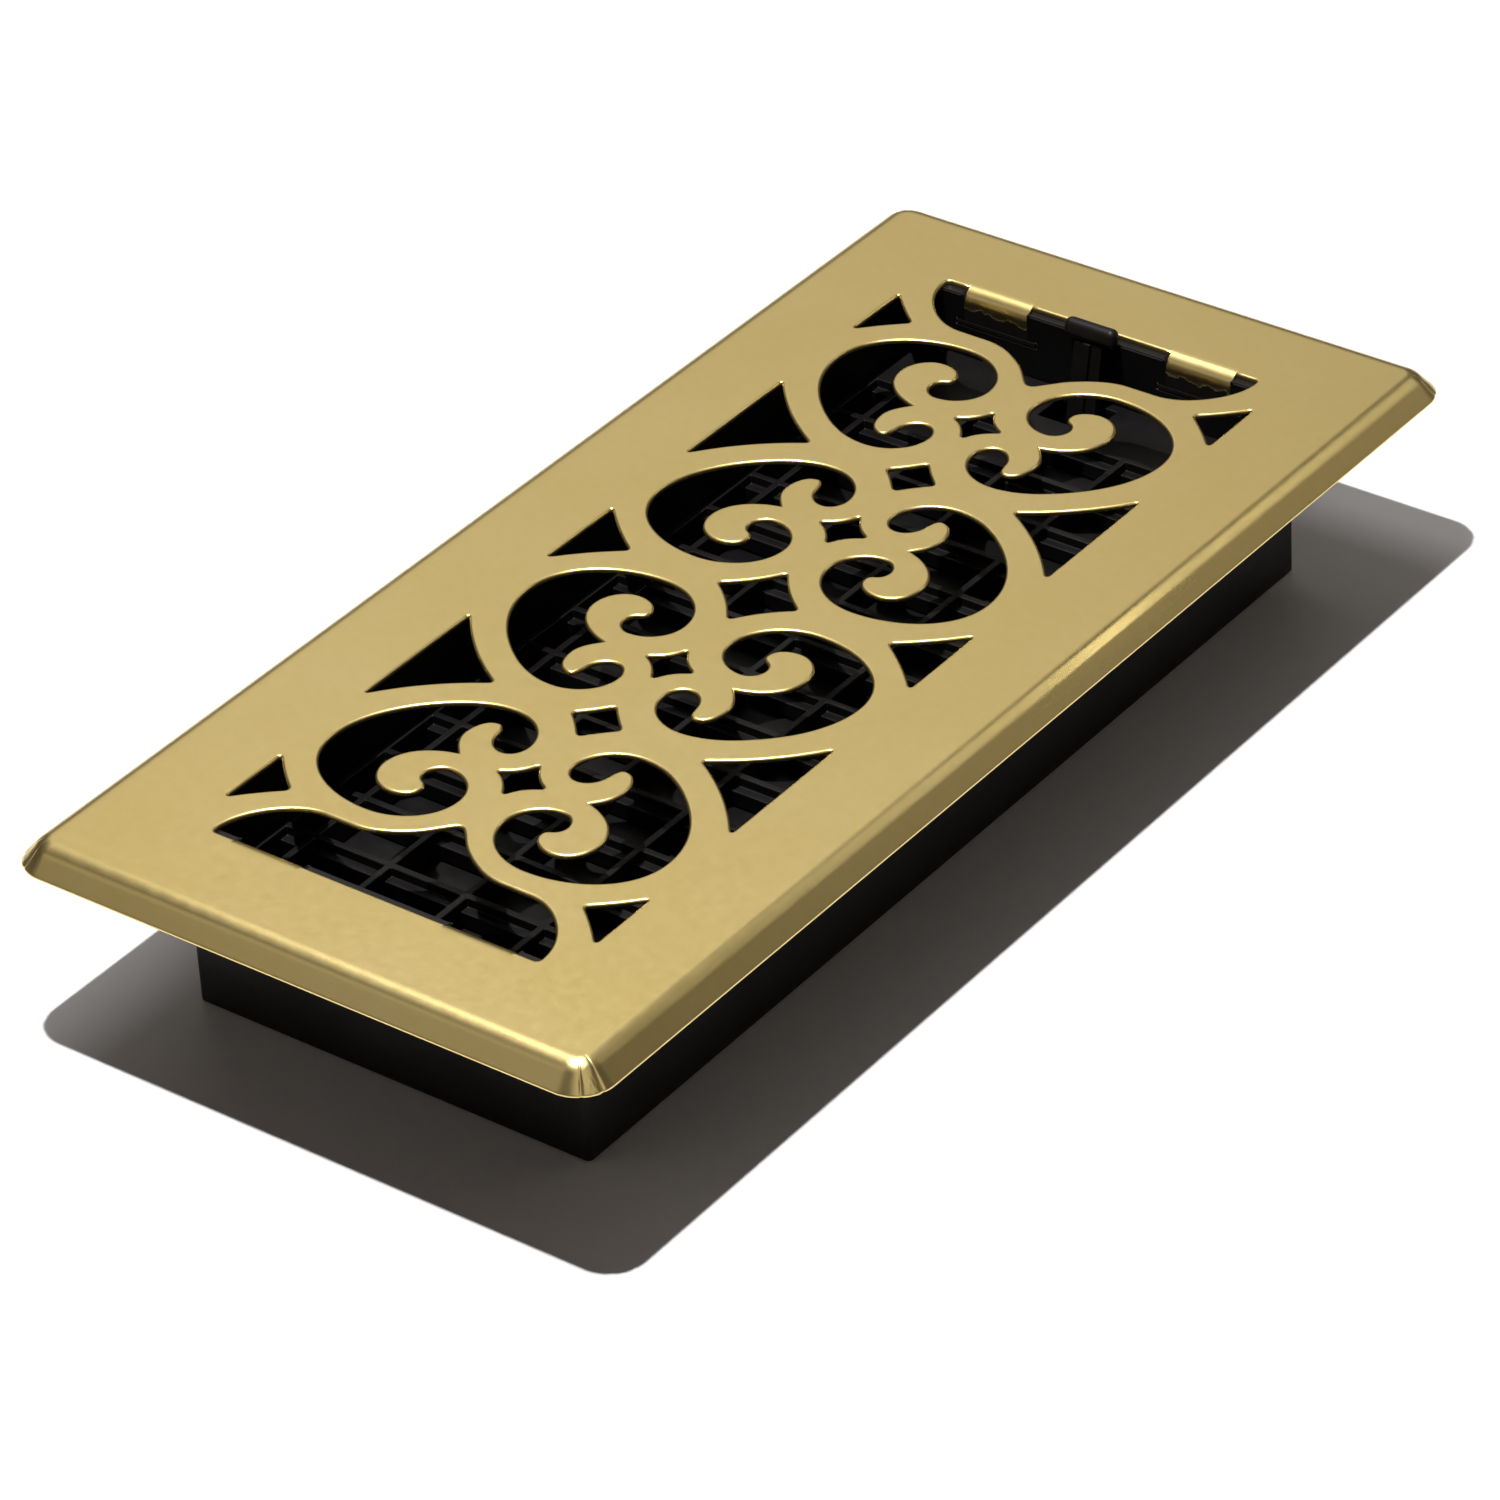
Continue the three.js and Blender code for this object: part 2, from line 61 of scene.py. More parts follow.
# Finishes

def newMaterial(name):
    material = bpy.data.materials.new(name)
    material.use_nodes = True
    tree = material.node_tree
    return material, tree, tree.nodes["Principled BSDF"]


def addNode(tree, kind, settings=None, **inputs):
    node = tree.nodes.new(kind)
    for key, value in (settings or {}).items():
        setattr(node, key, value)
    for key, value in inputs.items():
        node.inputs[key].default_value = value
    return node


# A noise whose grain is stretched by the three scales, in grains to the metre.
def grainOf(tree, scales, detail=3.0, roughness=0.55):
    place = addNode(tree, "ShaderNodeTexCoord")
    stretch = addNode(tree, "ShaderNodeMapping", Scale=scales)
    grain = addNode(tree, "ShaderNodeTexNoise", Scale=1.0, Detail=detail, Roughness=roughness)
    tree.links.new(place.outputs["Object"], stretch.inputs["Vector"])
    tree.links.new(stretch.outputs["Vector"], grain.inputs["Vector"])
    return grain.outputs["Fac"]


def ranged(tree, value, low, high, toLow, toHigh):
    change = addNode(tree, "ShaderNodeMapRange", {"clamp": True})
    for key, number in zip(("From Min", "From Max", "To Min", "To Max"), (low, high, toLow, toHigh)):
        change.inputs[key].default_value = number
    tree.links.new(value, change.inputs["Value"])
    return change.outputs["Result"]


def worked(tree, operation, first, second):
    sums = addNode(tree, "ShaderNodeMath", {"operation": operation})
    for socket, value in zip(sums.inputs, (first, second)):
        if isinstance(value, (int, float)):
            socket.default_value = value
        else:
            tree.links.new(value, socket)
    return sums.outputs["Value"]


def mixedValue(tree, factor, first, second):
    blend = addNode(tree, "ShaderNodeMix", {"data_type": "FLOAT"})
    tree.links.new(factor, blend.inputs["Factor"])
    for key, value in (("A", first), ("B", second)):
        socket = next(s for s in blend.inputs if s.name == key and s.type == "VALUE")
        if isinstance(value, (int, float)):
            socket.default_value = value
        else:
            tree.links.new(value, socket)
    return next(s for s in blend.outputs if s.type == "VALUE")


def mixedColour(tree, factor, first, second):
    blend = addNode(tree, "ShaderNodeMix", {"data_type": "RGBA"})
    tree.links.new(factor, blend.inputs["Factor"])
    for key, value in (("A", first), ("B", second)):
        socket = next(s for s in blend.inputs if s.name == key and s.type == "RGBA")
        if isinstance(value, tuple):
            socket.default_value = (*value, 1)
        else:
            tree.links.new(value, socket)
    return next(s for s in blend.outputs if s.type == "RGBA")


def raised(tree, height, strength, distance, under=None):
    bump = addNode(tree, "ShaderNodeBump", Strength=strength, Distance=distance)
    tree.links.new(height, bump.inputs["Height"])
    if under is not None:
        tree.links.new(under, bump.inputs["Normal"])
    return bump.outputs["Normal"]


def attributeOf(tree, name):
    return addNode(tree, "ShaderNodeAttribute", {"attribute_name": name}).outputs["Fac"]


# Each grain is its grains to the metre along x, y and z, its detail and its roughness; each bump is
# a strength and a height in metres.
brassFinish = {
    "ior": 1.5,
    "pale": (0.84, 0.67, 0.29),
    "deep": (0.80, 0.62, 0.24),
    "toneRange": (0.5, 1.1),
    "mottleShare": 0.6,  # of the mottle in the tone, beside the cloud
    "roughness": (0.29, 0.34),
    "noiseRange": (0.3, 0.7),  # where most of a noise lies
    "drawnRoughness": (0.28, 0.31),  # on the pressed edges, where the tool has drawn the sheet
    "streakRange": (0.35, 0.65),
    "endLines": 0.25,  # strength of the lines on the short edges, beside the long ones
    "burnishedRoughness": 0.22,
    "burnishedLines": 22.0,  # how much stronger its lines are than those of a pressed edge
    "burnishedFull": 0.5,  # rubbed this far or more, only grainLeft of the grain is left
    "grainLeft": 0.08,
    "blackTone": (0.012, 0.010, 0.009),
    "blackWander": 0.34,
    "blackEdge": (0.42, 0.58),
    "grain": ((2000, 2000, 2000), 4.0, 0.6),
    "cloud": ((26, 26, 26), 3.0, 0.5),
    "mottle": ((420, 420, 420), 3.0, 0.6),
    "streakLong": ((1300, 11, 1300), 2.0, 0.5),
    "streakEnd": ((11, 1300, 1300), 2.0, 0.5),
    "rubbed": ((650, 9, 650), 1.0, 0.5),
    "speck": ((420, 420, 300), 4.0, 0.65),
    "grainBump": (0.22, 0.00006),
    "cloudBump": (0.02, 0.0006),
    "lineBump": (0.010, 0.00006),
}


# Satin brass: a fine even grain on the face, streaks that run along the pressed edges, and one patch
# rubbed brighter.
def satinBrass():
    material, tree, shader = newMaterial("satinBrass")
    values = brassFinish
    shader.inputs["IOR"].default_value = values["ior"]
    drawn = attributeOf(tree, "drawn")
    acrossEnd = attributeOf(tree, "acrossEnd")
    blackened = attributeOf(tree, "blackened")
    burnished = attributeOf(tree, "burnished")
    grain = grainOf(tree, *values["grain"])
    cloud = grainOf(tree, *values["cloud"])
    mottle = grainOf(tree, *values["mottle"])
    streakLong = grainOf(tree, *values["streakLong"])
    streakEnd = grainOf(tree, *values["streakEnd"])
    streak = mixedValue(tree, acrossEnd, streakLong, streakEnd)
    rubbed = grainOf(tree, *values["rubbed"])

    # Black and not metallic on the feet of the tabs and on the underside, with a ragged edge
    speck = grainOf(tree, *values["speck"])
    wander = values["blackWander"]
    ragged = ranged(tree, speck, *values["noiseRange"], -wander, wander)
    edge = worked(tree, "ADD", blackened, ragged)
    black = ranged(tree, edge, *values["blackEdge"], 0.0, 1.0)

    clouded = worked(tree, "ADD", cloud, worked(tree, "MULTIPLY", mottle, values["mottleShare"]))
    tone = ranged(tree, clouded, *values["toneRange"], 0, 1)
    metal = mixedColour(tree, tone, values["deep"], values["pale"])
    tree.links.new(mixedColour(tree, black, metal, values["blackTone"]), shader.inputs["Base Color"])
    tree.links.new(ranged(tree, black, 0, 1, 1, 0), shader.inputs["Metallic"])

    faceRoughness = ranged(tree, mottle, *values["noiseRange"], *values["roughness"])
    drawnRoughness = ranged(tree, streak, *values["streakRange"], *values["drawnRoughness"])
    plain = mixedValue(tree, drawn, faceRoughness, drawnRoughness)
    roughness = mixedValue(tree, burnished, plain, values["burnishedRoughness"])
    tree.links.new(roughness, shader.inputs["Roughness"])

    left = ranged(tree, burnished, 0.0, values["burnishedFull"], 1.0, values["grainLeft"])
    fine = raised(tree, worked(tree, "MULTIPLY", grain, left), *values["grainBump"])
    swell = raised(tree, cloud, *values["cloudBump"], fine)
    onSides = worked(tree, "MULTIPLY", drawn, ranged(tree, acrossEnd, 0, 1, 1.0, values["endLines"]))
    pressed = worked(tree, "MULTIPLY", streak, onSides)
    strong = worked(tree, "MULTIPLY", burnished, values["burnishedLines"])
    both = worked(tree, "ADD", pressed, worked(tree, "MULTIPLY", rubbed, strong))
    lines = raised(tree, both, *values["lineBump"], swell)
    tree.links.new(lines, shader.inputs["Normal"])
    return material


plasticFinish = {
    "ior": 1.48,
    "gloss": 0.3,
    "dark": (0.0040, 0.0035, 0.0034),
    "light": (0.0072, 0.0063, 0.0062),
    "roughness": (0.32, 0.48),
    "unevenRange": (0.3, 0.7),
    "flowShare": 0.6,  # of the flow marks in the gloss, beside the patches
    "patchShare": 0.4,
    "spark": ((3200, 3200, 3200), 3.0, 0.6),
    "flow": ((55, 55, 160), 4.0, 0.55),
    "patch": ((300, 300, 300), 2.0, 0.5),
    "sparkBump": (0.25, 0.00005),
    "flowBump": (0.12, 0.0005),
}


# Moulded black plastic: a faint spark texture, with a slightly uneven gloss.
def blackPlastic():
    material, tree, shader = newMaterial("blackPlastic")
    values = plasticFinish
    shader.inputs["IOR"].default_value = values["ior"]
    shader.inputs["Specular IOR Level"].default_value = values["gloss"]
    spark = grainOf(tree, *values["spark"])
    flow = grainOf(tree, *values["flow"])
    patch = grainOf(tree, *values["patch"])
    tree.links.new(mixedColour(tree, flow, values["dark"], values["light"]), shader.inputs["Base Color"])
    flowPart = worked(tree, "MULTIPLY", flow, values["flowShare"])
    patchPart = worked(tree, "MULTIPLY", patch, values["patchShare"])
    uneven = worked(tree, "ADD", flowPart, patchPart)
    roughness = ranged(tree, uneven, *values["unevenRange"], *values["roughness"])
    tree.links.new(roughness, shader.inputs["Roughness"])
    texture = raised(tree, spark, *values["sparkBump"])
    tree.links.new(raised(tree, flow, *values["flowBump"], texture), shader.inputs["Normal"])
    return material


brass = satinBrass()
plastic = blackPlastic()
print("finishes made")


# The faceplate's sizes and the outlines of its cut-outs, in millimetres

plateShape = {
    "sheet": 1.0,
    "bend": 4.8,  # outside radius where the slope meets the face
    "slope": math.radians(48),
    "rimCorner": 8.0,
    "tightest": 0.6,  # least corner radius, on the innermost rings
    "bendSteps": 14,
    "bendShare": 0.25,  # how much of the way down the bend counts for
    "slopeSteps": 12,
    "cornerSteps": 84,
    "sideSpacing": 2.6,
    "rimRound": 0.6,  # where the slope turns down into its cut edge
    "rimRoundSteps": 5,
    "rimRoundDrawn": 0.3,
    "rimWall": 0.12,  # upright part of the cut edge
    "rimFoot": 0.10,  # rounding at the foot of the cut edge, and the middle of that rounding
    "rimFootMiddle": 0.03,
    "underFoot": 0.12,  # the same edge from below, with a small burr inward
    "underBurr": 0.05,
    "rimBlack": (0.1, 0.45, 0.8),  # black that fades out under the rim, from the edge inward
    "guard": 0.35,  # flat margin that keeps the face's shading clean beside a curve
    "rollWidth": 0.62,  # the punched edges roll over by this much
    "rollDepth": 0.45,
    "rollSteps": 7,
    "burr": 0.12,
    "spacing": 0.55,  # between points on a cut-out
    "straightSpacing": 1.5,
    "tipReach": 2.1,  # how much further than the sides a sharp tip's edge may move out
    "creaseAt": 0.17,  # a crease each side of a corner's fan, as a share of its turn
    "creaseWidth": 0.030,
    "creaseDepth": 0.21,
    "fanShift": {(1, 1): -0.04, (-1, 1): 0.03, (-1, -1): -0.05, (1, -1): 0.10},
    "fanRise": 0.13,
    "fanShare": 0.8,  # of the way out to the creases
    "dent": 0.07,
    "dentPitch": 2.3,  # how closely the dents lie
    "dentDown": 4,  # how much they change down the slope
    "formRamp": 1.6,  # how soon the corner's form comes in below the bend
    "burnishedAt": 25.0,  # a rubbed patch on the bend of one long side, from the middle of the plate
    "burnishedHalf": 19.0,
    "burnishedDown": (0.02, 0.8),  # from and to, as shares of the way down, and how fast each end ramps
    "burnishedRamp": (9, 3),
}
drawnHalf = Vector((44.5, 120.8))
cutHalf = Vector((boxHigh.x - 3.125, boxHigh.y + 0.15))
fitX = cutHalf.x / drawnHalf.x
fitY = cutHalf.y / drawnHalf.y

# One scroll as (x, y, heading) or (x, y, arriving, leaving), from the middle line and the row line
scrollKnots = [
    (5.85, 35.6, 90), (19.2, 46.95, 0), (40.25, 30.6, -90), (31.3, 12.9, -138), (15.6, 5.55, 180),
    (5.7, 14.2, 90), (9.1, 18.15, 0), (13.4, 14.2, -80), (15.5, 10.65, 5), (19.35, 16.6, 90),
    (15.9, 22.9, 135, 12), (26.15, 33, 90), (19.6, 39.95, 180), (14.25, 35.9, -90),
    (15.6, 34.1, -22), (17.2, 31.6, -90), (13.7, 28.1, 180),
]
# Right half of the bell, from its straight edge to its point
bellKnots = [
    (38.2, 120.8, 0), (39.1, 119.9, -90), (34.4, 109.6, -135), (24.5, 104.9, 180),
    (17.8, 104.85, 180), (6.35, 100.15, -143), (1.1, 94.8, -136),
]
rowLine = 52.25
diamonds = [(0, 9.9, 0.75), (rowLine, 6.1, 0.25), (rowLine - 23.4, 6.1, 0.95), (rowLine + 23.6, 6.1, 0.95)]
triangles = [(0, 31.7, 10.9, 0.5), (rowLine, 25.2, 16.6, 1.3), (rowLine + 50, 35.3, 8.4, 0.3)]
diamondCut = 1.3
triangleCut = 1.4


def bezierLine(a, b, c, d, spacing):
    length = (b - a).length + (c - b).length + (d - c).length
    steps = max(2, math.ceil(length / spacing))
    line = []
    for step in range(steps):
        t = step / steps
        s = 1 - t
        line.append(a * s ** 3 + b * 3 * s * s * t + c * 3 * s * t * t + d * t ** 3)
    return line


# A smooth line through knots, each with its heading in degrees.
def sweepLine(knots, spacing, closed=True):
    straight = 0.02
    line = []
    for here, there in zip(knots, knots[1:] + knots[:1] if closed else knots[1:]):
        leaving = math.radians(here[3] if len(here) > 3 else here[2])
        arriving = math.radians(there[2])
        turn = abs(math.atan2(math.sin(arriving - leaving), math.cos(arriving - leaving)))
        start = Vector(here[:2])
        end = Vector(there[:2])
        chord = (end - start).length
        reach = chord / 3
        if turn >= straight:
            reach = chord * 2 / 3 * math.tan(turn / 4) / math.sin(turn / 2)
        pullOut = start + Vector((math.cos(leaving), math.sin(leaving))) * reach
        pullIn = end - Vector((math.cos(arriving), math.sin(arriving))) * reach
        line += bezierLine(start, pullOut, pullIn, end, spacing)
    return line


def quadraticLine(start, middle, end, spacing):
    return bezierLine(start, start.lerp(middle, 2 / 3), end.lerp(middle, 2 / 3), end, spacing)


def crossing(point, along, other, alongOther):
    across = along.x * alongOther.y - along.y * alongOther.x
    gap = other - point
    return point + along * ((gap.x * alongOther.y - gap.y * alongOther.x) / across)


# A many-sided closed line with its sides bowed in and its corners rounded.
def bowedLine(corners, bows, cut, spacing):
    sides = []
    for i, (here, there) in enumerate(zip(corners, corners[1:] + corners[:1])):
        start = Vector(here)
        end = Vector(there)
        length = (end - start).length
        along = (end - start) / length
        inward = Vector((-along.y, along.x))
        spread = 4 * bows[i] / length
        places = []
        for t in (cut / length, 1 - cut / length):
            place = start + along * t * length + inward * spread * length * t * (1 - t)
            places.append((place, along + inward * spread * (1 - 2 * t)))
        sides.append(places)
    line = []
    for i, ((near, nearSlope), (far, farSlope)) in enumerate(sides):
        turned, turnedSlope = sides[(i + 1) % len(sides)][0]
        middle = (near + far) / 2 if bows[i] == 0 else crossing(near, nearSlope, far, farSlope)
        line += quadraticLine(near, middle, far, spacing)
        line += quadraticLine(far, crossing(far, farSlope, turned, turnedSlope), turned, spacing / 2)
    return line


tabShape = {
    "width": 16.0,
    "hook": 2.0,  # how far the foot reaches past each side
    "drop": 8.4,
    "bend": 3.6,
    "back": 1.5,  # its bend begins this far behind the straight edge of the cut-out
    "shoulder": 2.4,  # above the foot
    "centre": 25.5,
    "steps": 16,
    "dropSteps": 10,
    "columns": 24,
    "edge": 0.12,
    "drawn": 0.6,
    "blackFrom": 2.9,  # below the face
    "blackRun": 2.6,
}


# The bell as points and marks. Its straight edge steps back to where each tab's bend begins, and is
# left square there, so that face and tab are one sheet.
def bellLine(spacing):
    left = [(-x, y, -heading) for x, y, heading in bellKnots]
    line = sweepLine(bellKnots + left[::-1], spacing, False)
    marks = [1.0] * len(line)
    stepBack = drawnHalf.y + tabShape["back"] / fitY
    half = tabShape["width"] / 2 / fitX
    x = -bellKnots[0][0]
    for side in (-1, 1):
        low = side * tabShape["centre"] - half
        high = side * tabShape["centre"] + half
        line += straightLine(Vector((x, drawnHalf.y)), Vector((low, drawnHalf.y)))
        marks += [1.0] * (len(line) - len(marks))
        line.append(Vector((low, drawnHalf.y)))
        marks.append(1.0)
        line += straightLine(Vector((low, stepBack)), Vector((high, stepBack)))
        line.append(Vector((high, stepBack)))
        marks += [0.0] * (len(line) - len(marks))
        x = high
    line += straightLine(Vector((x, drawnHalf.y)), Vector((bellKnots[0][0], drawnHalf.y)))
    marks += [1.0] * (len(line) - len(marks))
    return line, marks


def straightLine(start, end):
    steps = max(1, round((end - start).length / plateShape["straightSpacing"]))
    return [start.lerp(end, step / steps) for step in range(steps)]


def signedArea(line):
    return sum(a.x * b.y - b.x * a.y for a, b in zip(line, line[1:] + line[:1])) / 2


# Every cut-out, going round to the left, as (line, marks); a mark of 0 leaves that point's edge square.
def cutOutLines():
    spacing = plateShape["spacing"]
    lines = []

    def place(line, marks, flipX, flipY, y):
        placed = [Vector((flipX * p.x * fitX, flipY * (y + p.y) * fitY)) for p in line]
        if signedArea(placed) < 0:
            placed.reverse()
            marks = marks[::-1]
        lines.append((placed, marks))

    scroll = sweepLine(scrollKnots, spacing)
    mirrored = [Vector((p.x, -p.y)) for p in scroll]
    bell, bellMarks = bellLine(spacing)
    for flipY in (1, -1):
        for flipX in (1, -1):
            for line in (scroll, mirrored):
                place(line, [1.0] * len(line), flipX, flipY, rowLine)
            for y, tip, half, bow in triangles:
                if y > 0 or flipY > 0:
                    corners = [(tip, 0), (drawnHalf.x, -half), (drawnHalf.x, half)]
                    line = bowedLine(corners, (bow, 0, bow), triangleCut, spacing)
                    place(line, [1.0] * len(line), flipX, flipY, y)
        for y, half, bow in diamonds:
            if y > 0 or flipY > 0:
                corners = [(half, 0), (0, half), (-half, 0), (0, -half)]
                line = bowedLine(corners, (bow,) * 4, diamondCut, spacing)
                place(line, [1.0] * len(line), 1, flipY, y)
        place(bell, bellMarks, 1, flipY, 0)
    return lines


# A closed line moved out by a distance, or left where its marks are 0.
def movedOut(line, distance, marks):
    least = 0.2  # keeps the division sound at a hairpin
    moved = []
    for i, point in enumerate(line):
        before = (point - line[i - 1]).normalized()
        after = (line[(i + 1) % len(line)] - point).normalized()
        first = Vector((before.y, -before.x))
        middle = first + Vector((after.y, -after.x))
        middle.normalize()
        reach = min(1 / max(middle.dot(first), least), plateShape["tipReach"])
        moved.append(point + middle * (distance * reach * marks[i]))
    return moved


# Faceplate

# Points round a rounded rectangle: place, way out, share of the turn at a corner or None on a side,
# and how far it belongs to a short end.
def plateRing(inset):
    values = plateShape
    halfX = plateHigh.x - inset
    halfY = plateHigh.y - inset
    radius = max(values["rimCorner"] - inset, values["tightest"])
    sideSteps = [round(2 * length / values["sideSpacing"]) for length in (plateHigh.y, plateHigh.x)]
    signs = ((1, 1), (-1, 1), (-1, -1), (1, -1))
    points = []
    for corner, (signX, signY) in enumerate(signs):
        centre = Vector((signX * (halfX - radius), signY * (halfY - radius)))
        for step in range(values["cornerSteps"] + 1):
            share = step / values["cornerSteps"]
            turn = (corner + share) * math.pi / 2
            away = Vector((math.cos(turn), math.sin(turn)))
            toEnd = share if corner % 2 == 0 else 1 - share
            points.append((centre + away * radius, away, share, toEnd))
        last, away = points[-1][:2]
        steps = sideSteps[(corner + 1) % 2]
        nextX, nextY = signs[(corner + 1) % 4]
        target = Vector((nextX * (halfX - radius), nextY * (halfY - radius)))
        turn = (corner + 1) * math.pi / 2
        target += Vector((math.cos(turn), math.sin(turn))) * radius
        toEnd = 1.0 if corner % 2 == 0 else 0.0
        for step in range(1, steps):
            points.append((last.lerp(target, step / steps), away, None, toEnd))
    return points


# How far the sheet stands out at a corner: a raised fan between two creases, with small dents.
def cornerForm(point, share, down):
    values = plateShape
    if share is None or down <= 0:
        return 0.0
    form = 0.0
    middle = 0.5 + values["fanShift"][math.copysign(1, point.x), math.copysign(1, point.y)]
    for side in (-1, 1):
        away = (share - middle - side * values["creaseAt"]) / values["creaseWidth"]
        form -= values["creaseDepth"] * math.exp(-away * away)
    fan = (share - middle) / (values["creaseAt"] * values["fanShare"])
    form += values["fanRise"] * math.exp(-fan ** 4)
    wrinkle = noise.noise(Vector((point.x, point.y, down * values["dentDown"])) * values["dentPitch"])
    form += values["dent"] * wrinkle * math.exp(-fan ** 4)
    return form * min(1.0, down * values["formRamp"])


# The tray's section, from the middle of the face out over the bend, down, under the rim and back.
# Each level is its inset, height, share of the way down, how far it is drawn and how far it is black.
def traySection():
    values = plateShape
    angle = values["slope"]
    bend = values["bend"]
    bendShare = values["bendShare"]
    turnZ = rimZ + values["rimWall"]
    slopeDrop = faceZ - bend * (1 - math.cos(angle)) - turnZ - values["rimRound"] * math.cos(angle)
    run = slopeDrop / math.tan(angle) + bend * math.sin(angle) + values["rimRound"] * (1 - math.sin(angle))

    def surface(depth, guard):
        radius = bend - depth
        # The underside is black and not metallic all over.
        under = 1.0 if depth else 0.0
        levels = [(run + guard, faceZ - depth, 0.0, 0.0, under)]
        for step in range(values["bendSteps"] + 1):
            turn = angle * step / values["bendSteps"]
            share = step / values["bendSteps"]
            levels.append((run - radius * math.sin(turn), faceZ - bend + radius * math.cos(turn),
                           share * bendShare, share, under))
        return levels

    over = surface(0, values["guard"])
    inset, z = over[-1][:2]
    for step in range(1, values["slopeSteps"] + 1):
        share = step / values["slopeSteps"]
        drop = slopeDrop * share
        down = bendShare + (1 - bendShare) * share
        over.append((inset - drop / math.tan(angle), z - drop, down, 1.0, 0.0))
    for step in range(1, values["rimRoundSteps"] + 1):
        turn = angle + (math.pi / 2 - angle) * step / values["rimRoundSteps"]
        over.append((values["rimRound"] * (1 - math.sin(turn)), turnZ + values["rimRound"] * math.cos(turn),
                     1.0, values["rimRoundDrawn"], 0.0))
    foot = values["rimFoot"]
    middle = values["rimFootMiddle"]
    edgeBlack, rimBlack, underBlack = values["rimBlack"]
    over.append((0.0, rimZ + foot, 1.0, 0.0, 0.0))
    over.append((middle, rimZ + middle, 1.0, 0.0, 0.0))
    over.append((foot, rimZ, 1.0, 0.0, edgeBlack))
    under = surface(values["sheet"], values["guard"])
    innerInset, innerZ = under[-1][:2]
    footInset = innerInset - (innerZ - rimZ) / math.tan(angle)
    under.append((footInset + values["underFoot"], rimZ + values["underFoot"], 1.0, 1.0, underBlack))
    under.append((footInset - values["underBurr"], rimZ, 1.0, 1.0, rimBlack))
    return over + under[::-1]


def joinRings(mesh, first, second):
    count = len(first)
    for i in range(count):
        j = (i + 1) % count
        mesh.faces.new((first[i], first[j], second[j], second[i]))


# Fills the flat sheet between its outer ring and the rings of the cut-outs.
def fillSheet(mesh, outer, holes):
    rings = [outer] + holes
    verts = [vert for ring in rings for vert in ring]
    points = [Vector((vert.co.x, vert.co.y)) for vert in verts]
    loops = []
    start = 0
    for ring in rings:
        loops.append(list(range(start, start + len(ring))))
        start += len(ring)
    _, _, faces, sources, _, inside = geometry.delaunay_2d_cdt(points, [], loops, 0, 1e-7)
    for face, owners in zip(faces, inside):
        if list(owners) == [0]:
            mesh.faces.new([verts[sources[i][0]] for i in face])


# One tab: its bend, its upright with a wider foot, and the toe.
def addTab(mesh, layers, side, end):
    values = tabShape
    sheet = plateShape["sheet"]
    centreY = cutHalf.y + values["back"]
    centreZ = faceZ - values["bend"]
    inside = centreY - values["bend"]
    foot = faceZ - values["drop"]
    turns = [math.pi / 2 * (1 + step / values["steps"]) for step in range(values["steps"] + 1)]

    def arc(radius):
        return [Vector((centreY + radius * math.cos(t), centreZ + radius * math.sin(t))) for t in turns]

    steps = values["dropSteps"]
    drops = [foot + sheet + (centreZ - foot - sheet) * (1 - step / steps) for step in range(1, steps + 1)]
    outer = arc(values["bend"]) + [Vector((inside, z)) for z in drops]
    inner = arc(values["bend"] - sheet) + [Vector((inside + sheet, z)) for z in drops]
    centreX = side * values["centre"] * fitX
    columns = values["columns"]
    shoulder = foot + values["shoulder"]
    grids = []
    for line, hidden in ((outer, 0.0), (inner, 1.0)):  # the back is black all over
        grid = []
        for p in line:
            row = []
            for step in range(columns + 1):
                share = step / columns * 2 - 1
                spread = values["hook"] if p.y < shoulder else 0
                half = values["width"] / 2 + spread
                vert = mesh.verts.new((centreX + share * half, end * p.x, p.y))
                below = faceZ - p.y
                # The tab turns black and not metallic from a little below the face downward.
                blackened = (below - values["blackFrom"]) / values["blackRun"]
                vert[layers["blackened"]] = max(hidden, min(1.0, max(0.0, blackened)))
                vert[layers["acrossEnd"]] = 1.0
                vert[layers["drawn"]] = values["drawn"]
                row.append(vert)
            grid.append(row)
        grids.append(grid)
    for grid in grids:
        for upper, lower in zip(grid, grid[1:]):
            for i in range(columns):
                mesh.faces.new((upper[i], upper[i + 1], lower[i + 1], lower[i]))
    front, back = grids
    for column in (0, columns):
        for i in range(len(front) - 1):
            mesh.faces.new((front[i][column], front[i + 1][column], back[i + 1][column], back[i][column]))
    for i in range(columns):
        mesh.faces.new((front[-1][i], front[-1][i + 1], back[-1][i + 1], back[-1][i]))
    # The toe that hooks under the ears of the box
    wide = values["width"] / 2 + values["hook"]
    reach = sorted((end * (boxHigh.y - boxShape["wall"]), end * (inside + sheet)))
    low = Vector((centreX - wide, reach[0], foot))
    high = Vector((centreX + wide, reach[1], foot + sheet))
    addBlock(mesh, low, high, values["edge"], layers)


